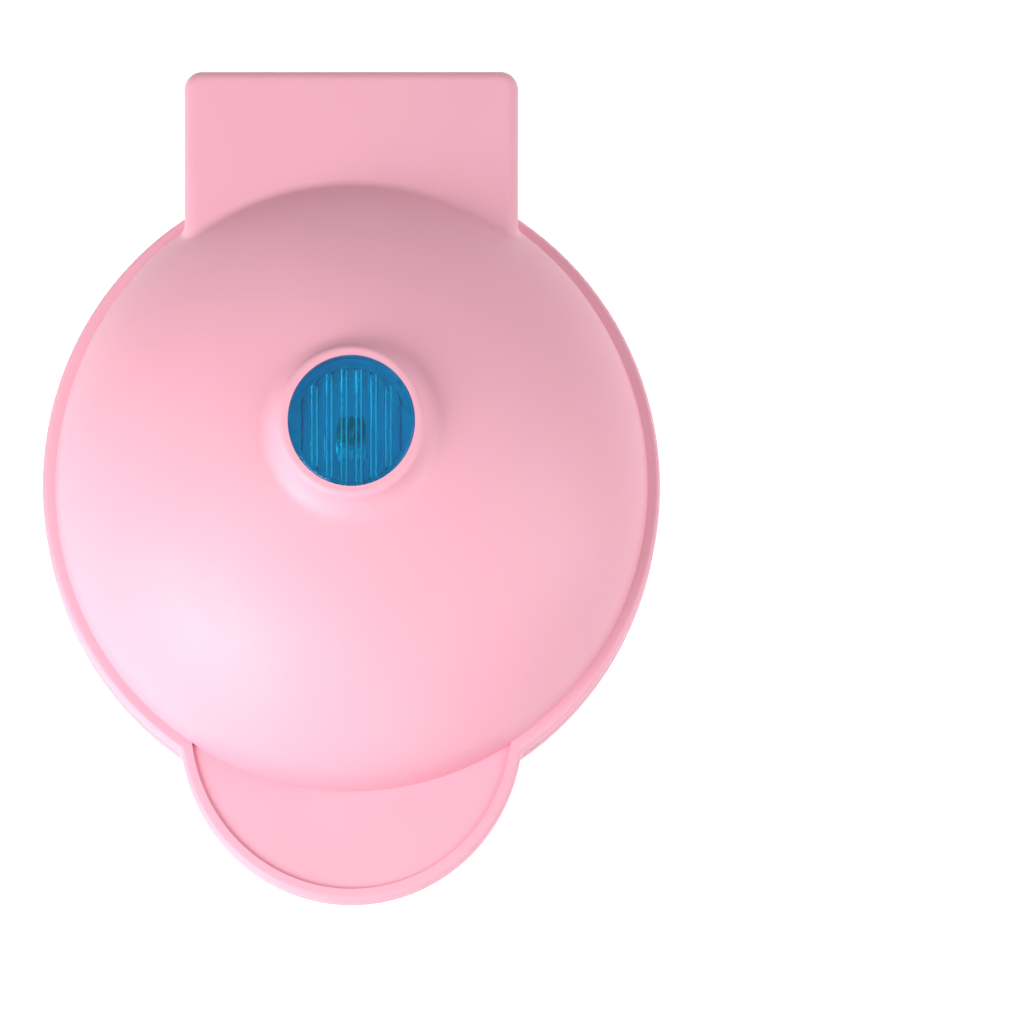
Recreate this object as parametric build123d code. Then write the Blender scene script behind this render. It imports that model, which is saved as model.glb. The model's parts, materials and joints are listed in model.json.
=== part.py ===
# Heart waffle maker: a small round mains waffle iron with a domed lid, hinged at the rear.
# Millimetres, +Z up, lifting tab towards -Y, hinge along X at the rear.
# The origin is under the middle of the overall box, in the plane that the feet rest on.
from build123d import *
from math import acos, asin, atan2, cos, degrees, radians, sin, sqrt
import os

# Outline seen from above
rim_radius = 63.5            # round flange of both shells
tab_radius = 35.5            # lifting tab, a circle that meets the flange
tab_inset = 15.8             # the tab circle's centre lies this much inside the flange's edge
base_tab_setback = 3.0       # the base's tab ends this much behind the lid's tab
hinge_box_width = 67.5
hinge_box_overhang = 14.4    # the hinge box reaches this far behind the flange
hinge_box_front = 20.0       # its front end, inside the dome, behind the flange's centre
tower_setback = 2.0          # the base's tower ends this much before the hinge box
corner_radius = 3.5          # upright rear corners of the hinge box and the tower
inner_corner = 0.3           # the same corners inside the walls
notch_radius = 1.6           # upright hollow corners where the tab meets the flange

# Heights
foot_proud = 3.0             # the feet lift the base shell by this much
parting_z = 30.0             # middle of the gap between lid and base
parting_gap = 0.4
lid_flange = 3.8             # thickness of the lid's flange and tab
base_flange = 3.4
dome_rise = 33.0             # the dome's unbroken crown above the flange
boss_rise = 36.0             # top of the lens boss above the flange
lens_crown = 1.0             # the lens stands this much above its boss
hinge_box_rise = 12.0        # flat top of the hinge box above the flange
tab_field_drop = 0.8         # the tab's field lies this much below its lip

# Shell sections
wall = 2.2
flange_width = 2.6
skirt_rise = 4.5
dome_overhang = 1.1          # the dome's ellipse, carried down to its middle, passes the skirt's foot
dome_half_height = 39.0      # half axis of that ellipse
boss_ring = 1.9              # width of the boss round the lens
boss_lean = 0.3              # the boss widens by this much for each millimetre down
boss_hollow = 5.0            # hollow round where the boss leaves the dome
boss_shoulder = 1.3
edge_round = 1.0             # outer edges of both flanges
lip_width = 2.4              # raised lip round the tab
box_round = 2.6              # top edges of the hinge box, and its hollow round against the dome
bowl_round = 3.0             # lower edge of the bowl
tower_round = 1.5            # lower edges of the tower
post_radius = 3.6            # screw posts inside both shells

# Lens and lamp
lens_radius = 12.5
lens_fit = 0.1               # radial gap of the lens in its hole
lens_round = 0.5             # rounded rim of the lens's crown
boss_lip = 2.0               # thickness of the ring that holds the lens down
lens_flange_width = 0.9
lens_flange_height = 1.5
lens_height = 4.2            # from the lens's underside to its edge at the top of the boss
flute_pitch = 2.86
flute_depth = 0.7
flute_count = 7
flute_radius = 1.25
flute_border = 1.8           # plain ring between the flutes and the lens's edge
seat_gap = 0.1               # between pieces that seat on each other
lamp_cup_wall = 1.6
lamp_cup_depth = 10.5
lamp_cup_fit = 0.2
lamp_lug_offset = 6.0        # lamp cup's screws outside the bore of the boss
lamp_lug_width = 7.0
lamp_lug_thickness = 2.0
lamp_radius = 2.9
lamp_length = 8.4
resistor_radius = 1.2
resistor_length = 6.5
lead_radius = 0.3
lead_spread = 1.0
lead_drop = 3.4              # the leads turn aside half this far below the cup
lead_tail = 2.0              # straight end of a lead past the resistor

# Cooking plates
plate_step = 4.8             # the plate's body is this much smaller than its rim
mouth_gap = 0.4              # plate's edge to the shell's mouth
plate_face = 3.0             # thickness of the plate's rim
plate_floor = 2.4            # metal left under the heart
plate_inset = 0.1            # the plate's face lies this much inside the shell's edge
heart_depth = 7.2
heart_draft = 10.0
lobe_radius = 25.5
lobe_x = 22.5
lobe_y = 12.0
lobe_end = -38.0             # degrees, where the lobe's round runs into the side
heart_tip_y = -44.0
heart_tip_round = 3.0
heart_notch_round = 2.0
stud_height = 5.2
stud_width = 11.5
stud_pitch = 16.3
stud_corner = 1.4
stud_draft = 9.0
stud_border = 4.6            # channel between the studs and the heart's wall
stud_row_y = -5.0            # middle row
stud_columns = 6
stud_rows = 5
stud_smallest = 25.0         # square millimetres; smaller cut studs are left out
plate_screw_inset = 6.5      # screws inside the edge of the plate's body
plate_screw_turns = (225.0, 315.0)
notch_screw_y = 41.5         # the rear screw sits behind the heart's notch

# Screws
screw_radius = 1.5
screw_fit = 0.1              # radial gap of a screw in its hole
screw_head_radius = 2.8
screw_head_height = 1.6
screw_bite = 7.0             # length of thread in the post
recess_width = 0.7
recess_length = 3.4
recess_depth = 0.9
small_screw_radius = 1.1
small_head_radius = 2.0
small_head_height = 1.2
small_bite = 4.5

# Heating elements and heat shields
tube_radius = 3.2
ring_inset = 8.0             # the ring that the tube makes lies this much inside the shield's edge
leg_x = 11.0
leg_bend = 9.0
leg_inset = 9.0              # the legs end this much inside the plate's body
bead_radius = 3.1
bead_length = 3.0
pin_radius = 1.1
pin_length = 3.4
shield_inset = 12.5          # the shield is this much smaller than the plate's body
shield_sheet = 0.8
shield_rim = 3.0
shield_hole = 9.5
stud_post_reach = 19.5
stud_post_radius = 4.0
stud_post_turns = (30.0, 150.0, 270.0)

# Hinge
hinge_lift = 8.0             # hinge axis above the parting plane
hinge_inset = 6.5            # hinge axis in front of the hinge box's rear
hinge_pin_radius = 2.0
hinge_fit = 0.05             # radial running gap of the pins in the base's knuckles
pin_seat_fit = 0.02          # radial gap of the pins in the lid's cheeks
knuckle_radius = 4.2
knuckle_width = 6.7
knuckle_side_gap = 0.3
cheek_width = 2.4
cheek_radius = 5.0
cheek_front = 10.5           # the cheeks run this far in front of the axis
pad_width = 2.25             # pads on the box's side walls that take the pins' outer ends
pin_blind = 1.2              # depth of the pin's hole past the pad
pin_proud = 0.6              # the pin's inner end past its cheek
barrel_radius = 8.2          # rounded lower rear edge of the hinge box, about the hinge axis
tower_gap = 0.4              # between that round and the tower's cover
arm_front = 12.2             # the knuckle arms stand from here to arm_back in front of the axis
arm_back = 8.9
arm_under = 2.6              # underside of the arm below the axis where it turns down
arm_shoulder = 1.05          # top of the arm's upright part above the axis
arm_dip = 1.4                # underside of the knuckle's web below the axis
cover_sheet = 2.2
cover_ring_gap = 0.2
cover_screw_x = 14.0
cover_screw_inset = 6.8      # in front of the tower's rear
cover_post_radius = 3.0

# Rear tower, cord inlet and wiring; Y is counted from the flange's centre
bowl_gate_z = 15.0           # below this height the bowl and the tower are one hollow
cord_radius = 3.1            # mains cord that the bush takes
bush_bore_fit = 0.2
bush_radius = 5.5
bush_fit = 0.1
bush_flange_radius = 7.5
bush_flange = 1.6
bush_inside = 7.0            # length of the bush past the wall
bush_z = 14.0
clamp_half_width = 11.5
clamp_depth = 5.0
clamp_height = 3.0
clamp_inset = 12.1           # clamp's middle in front of the tower's rear
clamp_screw_x = 8.8
clamp_post_radius = 2.6
block_half_width = 12.0
block_depth = 9.0
block_height = 9.0
block_inset = 19.9           # block's middle in front of the tower's rear
block_hole_radius = 1.5
block_hole_pitch = 7.0
sleeve_radius = 1.8
sleeve_fit = 0.4
sleeve_gap = 0.3             # between the two halves of the wire sleeve on the hinge axis
sleeve_turn = 4.0            # bend radius of the wire sleeve
sleeve_inset = 3.6           # the sleeves' upright parts inside the hinge's cheeks
sleeve_front = 10.4          # the base's half rises this far in front of the axis
sleeve_low = 18.0
sleeve_lid_z = 41.6
sleeve_lid_front = 8.8       # the lid's half rises this far in front of the axis
sleeve_lid_inset = 7.7       # it ends this much inside the skirt's foot
wire_radius = 0.8
wire_spread = 0.9            # two wires leave the sleeve side by side
wire_turn = 1.6
wire_step = 3.0              # height between two wires that lie one above the other
fuse_radius = 2.4
fuse_length = 16.0
fuse_inset = 9.5             # the fuse in front, inside the shield's edge
fuse_clip_sheet = 0.7
fuse_clip_width = 5.0
fuse_clip_tab = 6.0          # length of the clip's tab beside the fuse
thermostat_radius = 8.0
thermostat_height = 7.4
blade_x = 6.0                # thermostat's terminal blades
blade_width = 4.0
blade_height = 4.0
blade_sheet = 0.8
strap_half_width = 3.5
strap_half_length = 14.0
strap_screw_y = 12.0

# Feet; Y is counted from the flange's centre
foot_radius = 6.0
foot_fit = 0.1
foot_recess = 1.0
foot_front = (22.0, -20.0)
foot_rear_x = 25.0
foot_rear_inset = 10.8       # rear feet in front of the tower's rear
foot_round = 0.5

# Places worked out from the sizes above
tab_reach = rim_radius - tab_inset
hinge_box_reach = rim_radius + hinge_box_overhang
disc_y = (tab_reach + tab_radius - hinge_box_reach) / 2
lid_low = parting_z + parting_gap / 2
base_high = parting_z - parting_gap / 2
flange_top = lid_low + lid_flange
flange_under = base_high - base_flange
skirt_foot = rim_radius - flange_width
dome_half_width = skirt_foot + dome_overhang
mouth_radius = skirt_foot - wall
plate_radius = mouth_radius - mouth_gap
plate_body_radius = plate_radius - plate_step
plate_screw_reach = plate_body_radius - plate_screw_inset
shield_radius = plate_body_radius - shield_inset
ring_radius = shield_radius - ring_inset
fuse_y = fuse_inset - shield_radius
leg_end = plate_body_radius - leg_inset
box_half = hinge_box_width / 2
box_rear = disc_y + hinge_box_reach
box_top = flange_top + hinge_box_rise
tower_rear = box_rear - tower_setback
tower_reach = tower_rear - disc_y
cover_screw_y = tower_reach - cover_screw_inset
clamp_y = tower_reach - clamp_inset
block_y = tower_reach - block_inset
foot_places = (foot_front, (foot_rear_x, tower_reach - foot_rear_inset))
boss_top = flange_top + boss_rise
boss_radius = lens_radius + boss_ring
flute_reach = lens_radius - flute_border
dome_mid = flange_top + dome_rise - dome_half_height
bowl_mid = flange_under - dome_rise + dome_half_height
base_floor = foot_proud + wall
hinge_y = box_rear - hinge_inset
hinge_z = parting_z + hinge_lift
tower_top = hinge_z - barrel_radius - tower_gap
cover_low = tower_top - cover_sheet
pad_x = box_half - wall - pad_width
knuckle_x = pad_x - knuckle_side_gap - knuckle_width
cheek_x = knuckle_x - knuckle_side_gap - cheek_width
sleeve_x = cheek_x - sleeve_inset
lens_low = boss_top - lens_height
boss_bore = lens_radius + lens_flange_width + lens_fit
lamp_lug_reach = boss_bore + lamp_lug_offset
cup_top = lens_low - seat_gap
cup_low = cup_top - lamp_cup_depth
plate_z = base_high - plate_inset
plate_back = plate_z - heart_depth - plate_floor
tube_z = plate_back - seat_gap - tube_radius
shield_top = tube_z - tube_radius - seat_gap
shield_low = shield_top - shield_sheet
plate_screws = [(plate_screw_reach * cos(radians(turn)), plate_screw_reach * sin(radians(turn)))
                for turn in plate_screw_turns] + [(0.0, notch_screw_y)]
stud_posts = [(stud_post_reach * cos(radians(turn)), stud_post_reach * sin(radians(turn)))
              for turn in stud_post_turns]
clip_screw_y = fuse_y + fuse_radius + fuse_clip_sheet + fuse_clip_tab / 2
sleeve_lid_end = skirt_foot - sleeve_lid_inset
sides = (-1, 1)


def rod(x, y, low, high, radius):
    """Upright cylinder, with Y counted from the flange's centre."""
    solid = Cylinder(radius, high - low, align=(Align.CENTER, Align.CENTER, Align.MIN))
    return Pos(x, disc_y + y, low) * solid


def disc(radius, low, high):
    """Upright cylinder on the flange's axis."""
    return rod(0, 0, low, high, radius)


def block(x0, x1, y0, y1, z0, z1):
    """Box between two corners, with Y counted from the flange's centre."""
    solid = Box(x1 - x0, y1 - y0, z1 - z0, align=(Align.MIN, Align.MIN, Align.MIN))
    return Pos(x0, disc_y + y0, z0) * solid


def along_x(x0, x1, radius):
    """Cylinder on the hinge axis between two X values."""
    solid = Cylinder(radius, x1 - x0, align=(Align.CENTER, Align.CENTER, Align.MIN))
    return Pos(x0, hinge_y, hinge_z) * Rot(0, 90, 0) * solid


def along_y(x, y0, y1, z, radius):
    """Cylinder along Y, with Y counted from the flange's centre."""
    solid = Cylinder(radius, y1 - y0, align=(Align.CENTER, Align.CENTER, Align.MIN))
    return Pos(x, disc_y + y0, z) * Rot(-90, 0, 0) * solid


def hinge_profile(points, x0, x1):
    """Flat piece between two X values from points counted from the hinge axis."""
    places = [(hinge_y + u, hinge_z + w) for u, w in points]
    face = make_face(Polyline(*places, close=True))
    return Pos(x0, 0, 0) * extrude(Plane.YZ * face, x1 - x0)


def flipped(solid):
    """The same piece mirrored in the parting plane, for the lid."""
    return mirror(solid, Plane.XY.offset(parting_z))


def both_sides(make):
    """A piece and its twin on the other side of the middle plane."""
    piece = make()
    return [piece, mirror(piece, Plane.YZ)]


def bent(points, radius, turn):
    """Round bar along straight runs joined by arcs, with Y counted from the flange's centre."""
    places = [(x, disc_y + y, z) for x, y, z in points]
    path = FilletPolyline(*places, radius=turn)
    section = Plane(origin=path @ 0, z_dir=path % 0) * Circle(radius)
    return sweep(section, path=path)


def ellipse_height(reach, inset):
    """Height of the dome's ellipse above its middle at a reach from the axis."""
    return (dome_half_height - inset) * sqrt(1 - (reach / (dome_half_width - inset)) ** 2)


def ellipse_reach(height, inset):
    """Reach of the dome's ellipse from the axis at a height above its middle."""
    return (dome_half_width - inset) * sqrt(1 - (height / (dome_half_height - inset)) ** 2)


def turned(before, start, end, middle, inset, after):
    """Solid of revolution: straight points, an arc of the dome's ellipse, then straight points."""
    half_width = dome_half_width - inset
    half_height = dome_half_height - inset
    start_turn = degrees(asin((start[1] - middle) / half_height))
    end_turn = degrees(asin((end[1] - middle) / half_height))
    with BuildPart() as body:
        with BuildSketch(Plane.XZ):
            with BuildLine():
                Polyline(*before, start)
                EllipticalCenterArc((0, middle), half_width, half_height,
                                    start_angle=start_turn, arc_size=end_turn - start_turn)
                Polyline(end, *after)
                Line(after[-1], before[0])
            make_face()
        revolve(axis=Axis.Z)
    return Pos(0, disc_y, 0) * body.part


def dome_body(inset):
    """Dome without flange or boss; inset moves its surface inwards."""
    foot = skirt_foot - inset
    skirt_z = flange_top + skirt_rise
    skirt = (ellipse_reach(skirt_z - dome_mid, inset), skirt_z)
    crown = (lens_radius, dome_mid + ellipse_height(lens_radius, inset))
    before = [(0, lid_low - inset), (foot, lid_low - inset), (foot, flange_top)]
    return turned(before, skirt, crown, dome_mid, inset, [(0, crown[1])])


def bowl_body(inset):
    """Bowl without flange or tower; inset moves its surface inwards."""
    foot = skirt_foot - inset
    floor = foot_proud + inset
    skirt_z = flange_under - skirt_rise
    skirt = (ellipse_reach(bowl_mid - skirt_z, inset), skirt_z)
    rim = (ellipse_reach(bowl_mid - floor, inset), floor)
    before = [(0, base_high + inset), (foot, base_high + inset), (foot, flange_under)]
    return turned(before, skirt, rim, bowl_mid, inset, [(0, floor)])


def flange_plate(reach, low, high):
    """Round flange with the front tab, as one plate with softened hollow corners."""
    plate = disc(rim_radius, low, high) + rod(0, -reach, low, high, tab_radius)
    hollow = plate.edges().filter_by(Axis.Z).filter_by(lambda e: abs(e.center().X) > 1)
    return fillet(hollow, notch_radius)


def rear_block(rear, low, high, inset):
    """Block as wide as the hinge box, behind the flange's centre, with round upright corners."""
    half = box_half - inset
    back = rear - inset
    solid = block(-half, half, hinge_box_front, back - disc_y, low, high)
    corners = solid.edges().filter_by(Axis.Z).filter_by(lambda e: e.center().Y > back - 1)
    return fillet(corners, max(corner_radius - inset, inner_corner))


def box_crease(edge, height):
    """True of an edge where the hinge box meets the dome, above a height."""
    spot = edge.center()
    curved = edge.geom_type not in (GeomType.LINE, GeomType.CIRCLE)
    return curved and spot.Z > height and disc_y + box_half / 2 < spot.Y < box_rear - corner_radius


def lid_shell():
    """Moulded cover: dome with lens boss, flange, lifting tab and hinge box, hollow below."""
    depth = boss_rise - dome_rise + wall
    boss = Cone(boss_radius + boss_lean * depth, boss_radius, depth,
                align=(Align.CENTER, Align.CENTER, Align.MAX))
    dome = dome_body(0) + Pos(0, disc_y, boss_top) * boss
    rings = dome.edges().filter_by(lambda e: e.bounding_box().min.Z > flange_top + dome_rise / 2)
    dome = fillet(rings.filter_by(lambda e: e.bounding_box().max.Z < boss_top - 1), boss_hollow)
    rings = dome.edges().filter_by(lambda e: e.bounding_box().min.Z > boss_top - 0.01)
    dome = fillet(rings, boss_shoulder)

    shell = dome + rear_block(box_rear, lid_low, box_top, 0)
    rims = shell.edges().filter_by(
        lambda e: abs(e.center().Z - box_top) < 0.01 and e.center().Y > disc_y + box_half)
    creases = shell.edges().filter_by(
        lambda e: box_crease(e, flange_top + skirt_rise / 2) and abs(e.center().Z - box_top) > 0.01)
    shell = fillet(list(rims) + list(creases), box_round)
    under = block(-box_half, box_half, hinge_y - disc_y, box_rear - disc_y, lid_low, hinge_z)
    shell -= under - along_x(-box_half, box_half, barrel_radius)

    plate = flange_plate(tab_reach, lid_low, flange_top)
    plate = fillet(plate.faces().sort_by(Axis.Z)[-1].edges(), edge_round)
    field = rod(0, -tab_reach, flange_top - tab_field_drop, flange_top + 1, tab_radius - lip_width)
    shell = shell + (plate - field)

    shell -= dome_body(wall)
    shell -= disc(boss_bore, flange_top, boss_top - boss_lip)
    shell -= disc(lens_radius + lens_fit, flange_top, boss_top + 1)
    inside = rear_block(box_rear, lid_low - 1, box_top - wall, wall)
    shell -= inside - disc(skirt_foot, lid_low - 2, box_top)

    skin = dome_body(wall / 2)
    for x, y in plate_screws:
        post = rod(x, y, 2 * parting_z - plate_back + seat_gap, boss_top, post_radius)
        shell += post & skin
    for side in sides:
        shell += rod(side * lamp_lug_reach, 0, cup_low + lamp_lug_thickness + seat_gap, boss_top,
                     clamp_post_radius) & skin
        cheek = along_x(cheek_x, cheek_x + cheek_width, cheek_radius)
        cheek += hinge_profile(cheek_points(), cheek_x, cheek_x + cheek_width)
        pad = along_x(pad_x, box_half - wall / 2, cheek_radius)
        pad += hinge_profile(cheek_points(), pad_x, box_half - wall / 2)
        cheeks = (cheek + pad) & rear_block(box_rear, lid_low, box_top - wall / 2, wall / 2)
        cheeks -= along_x(cheek_x - 1, pad_x + pad_width + pin_blind, hinge_pin_radius + pin_seat_fit)
        shell += cheeks if side > 0 else mirror(cheeks, Plane.YZ)
    pin_room = along_x(cheek_x - 1, box_half - wall + pin_blind, hinge_pin_radius + pin_seat_fit)
    shell -= pin_room
    shell -= mirror(pin_room, Plane.YZ)

    for x, y in plate_screws:
        shell -= flipped(rod(x, y, plate_back - seat_gap - screw_bite - 1, plate_back,
                             screw_radius + screw_fit))
    for side in sides:
        low = cup_low + lamp_lug_thickness
        shell -= rod(side * lamp_lug_reach, 0, low, low + small_bite, small_screw_radius + screw_fit)
    shell -= along_y(sleeve_x, sleeve_lid_end - 3, skirt_foot + 1, sleeve_lid_z, sleeve_radius + sleeve_fit)
    return shell


def cheek_points():
    """Side view of the hinge box's cheeks above the axis, up to the box's top."""
    high = box_top - hinge_z
    back = hinge_inset
    return [(-cheek_front, 0), (back, 0), (back, high), (-cheek_front, high)]


def base_shell():
    """Moulded bowl: flange, front tab, rear tower for the hinge and the cord, hollow inside."""
    bowl = bowl_body(0)
    lower = bowl.edges().filter_by(GeomType.CIRCLE).filter_by(lambda e: e.center().Z < foot_proud + 0.01)
    bowl = fillet(lower, bowl_round)
    tower = rear_block(tower_rear, foot_proud, cover_low - seat_gap, 0)
    rims = tower.edges().filter_by(
        lambda e: e.center().Z < foot_proud + 0.01 and e.center().Y > disc_y + box_half)
    tower = fillet(rims, tower_round)
    plate = flange_plate(tab_reach - base_tab_setback, flange_under, base_high)
    plate = fillet(plate.faces().sort_by(Axis.Z)[0].edges(), edge_round)
    shell = bowl + tower + plate

    shell -= bowl_body(wall)
    inside = rear_block(tower_rear, base_floor, tower_top, wall)
    shell -= inside - disc(skirt_foot, bowl_gate_z, tower_top + 1)
    shell -= rod(-sleeve_x, hinge_y - disc_y - sleeve_front, bowl_gate_z, base_high + 1,
                 sleeve_radius + sleeve_fit)

    skin = bowl_body(wall / 2)
    for x, y in plate_screws:
        shell += rod(x, y, foot_proud, plate_back - seat_gap, post_radius) & skin
    for side in sides:
        shell += rod(side * cover_screw_x, cover_screw_y, base_floor - 1, cover_low - seat_gap,
                     cover_post_radius)
        shell += rod(side * clamp_screw_x, clamp_y, base_floor - 1, bush_z + cord_radius, clamp_post_radius)
    for x, y in plate_screws:
        shell -= rod(x, y, plate_back - seat_gap - screw_bite - 1, plate_back, screw_radius + screw_fit)
    for side in sides:
        shell -= rod(side * cover_screw_x, cover_screw_y, cover_low - screw_bite - 1, cover_low,
                     screw_radius + screw_fit)
        top = bush_z + cord_radius
        shell -= rod(side * clamp_screw_x, clamp_y, top - small_bite - 1, top + 1,
                     small_screw_radius + screw_fit)
        for x, y in foot_places:
            shell -= rod(side * x, y, foot_proud - 1, foot_proud + foot_recess, foot_radius + foot_fit)
    shell -= along_y(0, tower_reach - wall - 1, tower_reach + 1, bush_z, bush_radius + bush_fit)
    return shell


def hinge_cover():
    """Lid of the rear tower, with the two arms and knuckles that the lid turns on."""
    cover = rear_block(tower_rear, cover_low, tower_top, 0)
    cover -= disc(rim_radius + cover_ring_gap, cover_low - 1, tower_top + 1)
    low = cover_low - hinge_z
    points = [(-arm_front, low), (-arm_front, arm_shoulder), (-arm_back, knuckle_radius),
              (0, knuckle_radius), (0, 0), (-knuckle_radius, -arm_dip),
              (-arm_back, -arm_under), (-arm_back, low)]
    arm = hinge_profile(points, knuckle_x, knuckle_x + knuckle_width)
    arm += along_x(knuckle_x, knuckle_x + knuckle_width, knuckle_radius)
    arm -= along_x(knuckle_x - 1, knuckle_x + knuckle_width + 1, hinge_pin_radius + hinge_fit)
    cover += arm
    cover += mirror(arm, Plane.YZ)
    for side in sides:
        cover -= flat_hole(side * cover_screw_x, cover_screw_y, tower_top, cover_sheet + 1)
    cover -= rod(-sleeve_x, hinge_y - disc_y - sleeve_front, cover_low - 1, tower_top + 1,
                 sleeve_radius + sleeve_fit)
    return cover


def flat_screw(x, y, top, length):
    """Countersunk cross-recess screw, head up and flush with a face at this height."""
    head = Cone(screw_radius, screw_head_radius, screw_head_height,
                align=(Align.CENTER, Align.CENTER, Align.MAX))
    solid = Pos(x, disc_y + y, top) * head + rod(x, y, top - length, top - screw_head_height, screw_radius)
    return solid - recess(x, y, top)


def flat_hole(x, y, top, length):
    """Hole for a countersunk screw."""
    head = Cone(screw_radius + screw_fit, screw_head_radius + screw_fit, screw_head_height,
                align=(Align.CENTER, Align.CENTER, Align.MAX))
    hole = Pos(x, disc_y + y, top) * head
    hole += rod(x, y, top, top + 1, screw_head_radius + screw_fit)
    return hole + rod(x, y, top - length, top - screw_head_height, screw_radius + screw_fit)


def pan_screw(x, y, seat, length):
    """Small pan-head screw that points up, its head below a face at this height."""
    head = rod(x, y, seat - small_head_height, seat, small_head_radius)
    rim = head.faces().sort_by(Axis.Z)[0].edges()
    head = fillet(rim, small_head_height / 2)
    return head + rod(x, y, seat, seat + length, small_screw_radius)


def recess(x, y, top):
    """Cross recess in a screw's head."""
    half = recess_length / 2
    low = top - recess_depth
    cut = block(x - half, x + half, y - recess_width / 2, y + recess_width / 2, low, top + 1)
    return cut + block(x - recess_width / 2, x + recess_width / 2, y - half, y + half, low, top + 1)


def heart_face():
    """Heart outline: two round lobes whose sides run in gentle arcs to the tip."""
    notch_turn = 180 - degrees(acos(lobe_x / lobe_radius))
    with BuildSketch() as sketch:
        with BuildLine():
            lobe = CenterArc((lobe_x, lobe_y), lobe_radius, notch_turn, lobe_end - notch_turn)
            TangentArc(lobe @ 1, (0, heart_tip_y), tangent=lobe % 1)
            mirror(about=Plane.YZ)
        make_face()
        middle = sketch.vertices().filter_by(lambda v: abs(v.X) < 0.01).sort_by(Axis.Y)
        fillet(middle[0], heart_tip_round)
        middle = sketch.vertices().filter_by(lambda v: abs(v.X) < 0.01).sort_by(Axis.Y)
        fillet(middle[-1], heart_notch_round)
    return sketch.sketch


def cooking_plate():
    """Cast plate with its face up: flat rim, heart-shaped hollow with square studs, posts below."""
    plate = disc(plate_radius, plate_z - plate_face, plate_z)
    plate += disc(plate_body_radius, plate_back, plate_z - plate_face)
    heart = Pos(0, disc_y, plate_z) * heart_face()
    plate -= extrude(heart, heart_depth, dir=(0, 0, -1), taper=heart_draft)

    floor = plate_z - heart_depth
    inner = Pos(0, disc_y, floor) * offset(heart_face(), -stud_border)
    limit = extrude(inner, stud_height)
    face = RectangleRounded(stud_width, stud_width, stud_corner)
    for column in range(stud_columns):
        for row in range(stud_rows):
            x = (column - (stud_columns - 1) / 2) * stud_pitch
            y = stud_row_y + (row - (stud_rows - 1) / 2) * stud_pitch
            stud = extrude(Pos(x, disc_y + y, floor) * face, stud_height, taper=stud_draft)
            stud = stud & limit
            if stud is not None and stud.volume > stud_smallest * stud_height:
                plate += stud
    for x, y in stud_posts:
        plate += rod(x, y, shield_top + seat_gap, plate_back + 1, stud_post_radius)
    for x, y in stud_posts:
        plate -= rod(x, y, shield_top, shield_top + small_bite + 1, small_screw_radius + screw_fit)
    for x, y in plate_screws:
        plate -= flat_hole(x, y, plate_z, plate_z - plate_back + 1)
    return plate


def plate_fixings():
    """Screws that hold a plate to the posts of its shell."""
    length = plate_z - plate_back + seat_gap + screw_bite
    return [flat_screw(x, y, plate_z, length) for x, y in plate_screws]


def element():
    """Tubular heating element: one open ring whose two legs turn to the rear."""
    centre_x = leg_x + leg_bend
    centre_y = sqrt((ring_radius + leg_bend) ** 2 - centre_x ** 2)
    turn = degrees(atan2(centre_y, centre_x))
    with BuildLine(Plane.XY.offset(tube_z)) as path:
        Line((leg_x, leg_end), (leg_x, centre_y))
        CenterArc((centre_x, centre_y), leg_bend, 180, turn)
        CenterArc((0, 0), ring_radius, turn, -180 - 2 * turn)
        CenterArc((-centre_x, centre_y), leg_bend, -turn, turn)
        Line((-leg_x, centre_y), (-leg_x, leg_end))
    section = Plane(origin=(leg_x, leg_end, tube_z), z_dir=(0, -1, 0)) * Circle(tube_radius)
    return Pos(0, disc_y, 0) * sweep(section, path=path.wires()[0])


def element_beads():
    """Ceramic end beads of the element's legs, drilled for the terminal pins."""
    bead = along_y(leg_x, leg_end, leg_end + bead_length, tube_z, bead_radius)
    bead -= along_y(leg_x, leg_end - 1, leg_end + bead_length + 1, tube_z, pin_radius)
    return both_sides(lambda: bead)


def element_pins():
    """Terminal pins that stand out of the beads."""
    end = leg_end + bead_length + pin_length
    return both_sides(lambda: along_y(leg_x, leg_end, end, tube_z, pin_radius))


def shield():
    """Pressed sheet under the element, with a turned-down rim, screwed to the plate's posts."""
    sheet = disc(shield_radius, shield_low, shield_top)
    sheet += disc(shield_radius, shield_low - shield_rim, shield_low) \
        - disc(shield_radius - shield_sheet, shield_low - shield_rim - 1, shield_low)
    sheet -= disc(shield_hole, shield_low - 1, shield_top + 1)
    sheet -= rod(0, notch_screw_y, shield_low - shield_rim - 1, shield_top + 1, post_radius + 1)
    for x, y in stud_posts:
        sheet -= rod(x, y, shield_low - 1, shield_top + 1, small_screw_radius + screw_fit)
    for side in sides:
        sheet -= rod(0, side * strap_screw_y, shield_low - 1, shield_top + 1,
                     small_screw_radius + screw_fit)
    return sheet - rod(0, clip_screw_y, shield_low - 1, shield_top + 1, small_screw_radius + screw_fit)


def shield_fixings():
    """Screws that hold a shield to its plate's posts."""
    return [pan_screw(x, y, shield_low - seat_gap, seat_gap + shield_sheet + small_bite)
            for x, y in stud_posts]


def thermostat():
    """Disc thermostat, made as for the lower plate: cap against the plate's back."""
    top = plate_back - seat_gap
    return disc(thermostat_radius, top - thermostat_height, top)


def thermostat_blades():
    """Two terminal blades that stand out of the thermostat."""
    low = plate_back - seat_gap - thermostat_height
    return both_sides(lambda: block(blade_x - blade_sheet / 2, blade_x + blade_sheet / 2, -blade_width / 2,
                                    blade_width / 2, low - blade_height, low))


def thermostat_strap():
    """Flat strap that presses the thermostat to the plate, screwed to the shield."""
    high = plate_back - 2 * seat_gap - thermostat_height
    strap = block(-strap_half_width, strap_half_width, -strap_half_length, strap_half_length,
                  high - shield_sheet, high)
    for side in sides:
        strap -= rod(0, side * strap_screw_y, high - shield_sheet - 1, high + 1,
                     small_screw_radius + screw_fit)
    return strap


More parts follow.
